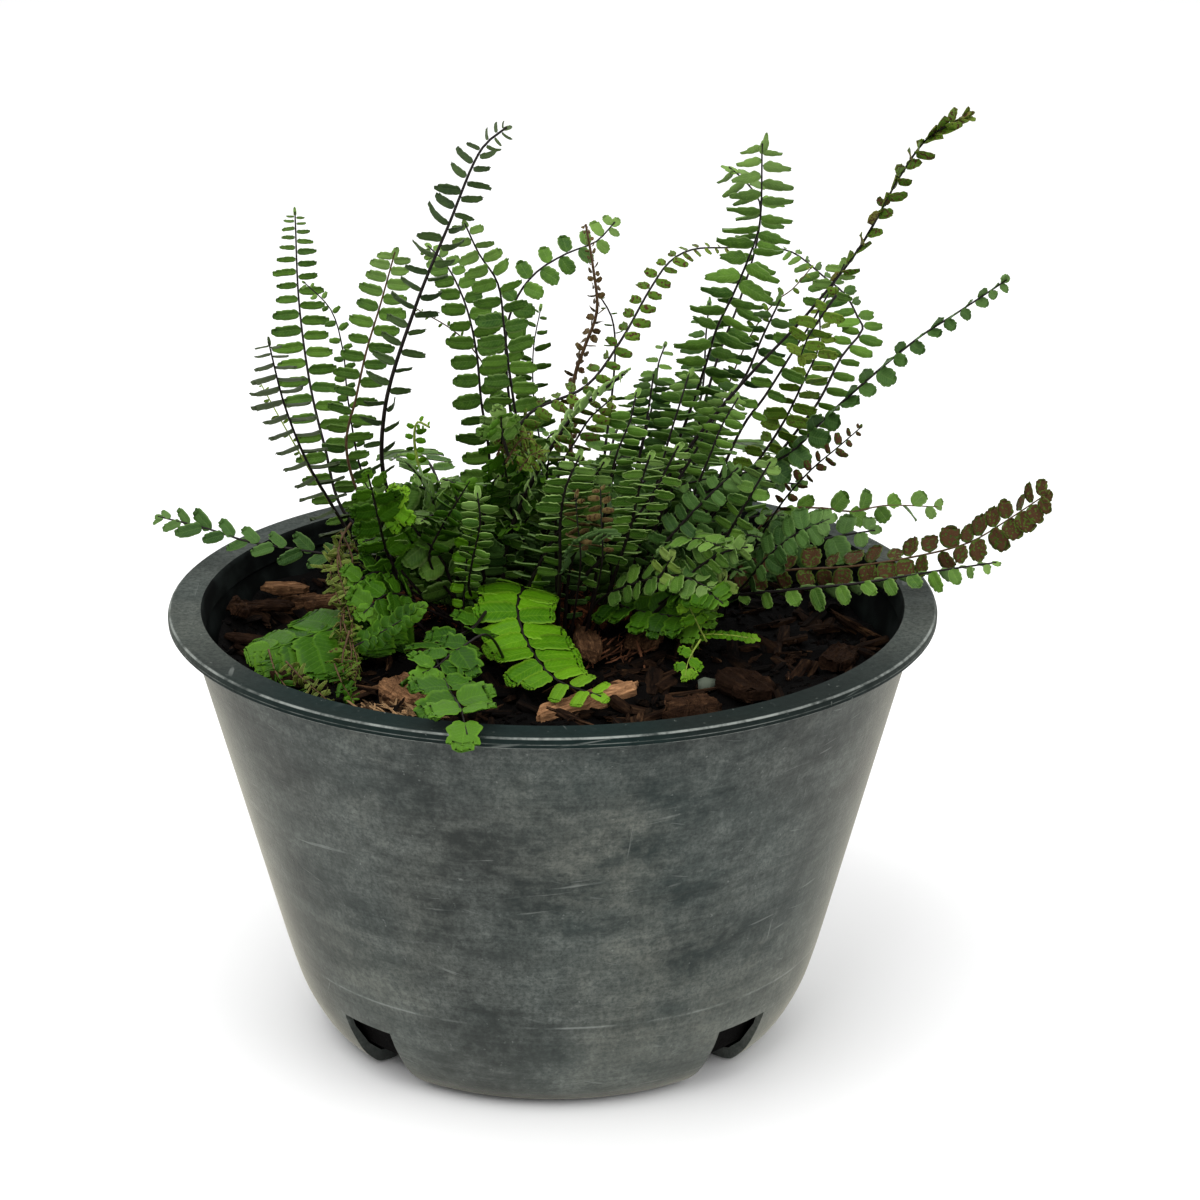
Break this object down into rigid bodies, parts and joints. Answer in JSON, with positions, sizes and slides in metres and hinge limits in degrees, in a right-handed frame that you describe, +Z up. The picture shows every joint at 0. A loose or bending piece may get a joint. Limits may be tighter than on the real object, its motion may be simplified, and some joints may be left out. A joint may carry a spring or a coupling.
{
  "type": "potted plant",
  "caption": "Young fern with many arching, small-leaved fronds in a squat tapered pot with a flared rim, filled with dark mix and bark chips.",
  "frame": {"origin": "middle of the pot's flat underside, on the surface that it stands on", "axes": "+Z up, the front of the plant towards -Y, +X to the right as seen from the front"},
  "size_m": [0.2314, 0.2263, 0.2514],
  "materials": {
    "pot": "matte, cloudy scuffs and dust",
    "potting_mix": "damp, coarse",
    "rhizome": "scaly, matte",
    "bark": "rough, matte",
    "frond_green": "satin leaf",
    "frond_lime": "satin leaf",
    "frond_olive": "dry leaf",
    "frond_brown": "dry, matte"
  },
  "bodies": {
    "root": {"bark_back_left": "bark", "bark_block_front": "bark", "bark_edge_right": "bark", "bark_fibrous_left": "bark", "bark_long_front": "bark", "bark_reddish": "bark", "bark_slab_right": "bark", "bark_upright_brown": "bark", "crozier_left": "frond_lime", "frond_arch_back": "frond_green", "frond_arch_right": "frond_green", "frond_arch_round": "frond_green", "frond_back_left": "frond_green", "frond_back_mid": "frond_green", "frond_back_mid_right": "frond_green", "frond_back_right": "frond_green", "frond_brown_sori": "frond_brown", "frond_centre": "frond_green", "frond_dark_tall": "frond_green", "frond_front_fan": "frond_lime", "frond_front_lime": "frond_lime", "frond_front_rim": "frond_lime", "frond_lance_behind": "frond_green", "frond_lance_short": "frond_green", "frond_lance_tall": "frond_green", "frond_left_bare_tip": "frond_olive", "frond_left_edge": "frond_green", "frond_left_fan": "frond_lime", "frond_left_level": "frond_green", "frond_left_lime": "frond_lime", "frond_left_oval": "frond_lime", "frond_left_round": "frond_green", "frond_left_tall": "frond_green", "frond_left_thin": "frond_green", "frond_longest": "frond_green", "frond_mass_bright": "frond_lime", "frond_mass_centre": "frond_green", "frond_mass_far_right": "frond_green", "frond_mass_left": "frond_green", "frond_mass_right": "frond_green", "frond_mid_oval": "frond_green", "frond_mid_oval_left": "frond_green", "frond_olive_spores": "frond_olive", "frond_right_dark_round": "frond_green", "frond_right_level": "frond_green", "frond_right_low": "frond_green", "frond_right_round": "frond_green", "frond_small_dark": "frond_brown", "frond_small_edge": "frond_green", "frond_small_mid": "frond_green", "frond_withered": "frond_olive", "frond_young": "frond_lime", "plantlet_right": "frond_lime", "pot": "pot", "potting_mix": "potting_mix", "rachis_bare": "frond_green", "rachis_bare_right": "frond_brown", "rhizome_crown": "rhizome", "runner_thin": "frond_brown", "stalk_dead": "frond_brown"}
  },
  "joints": []
}
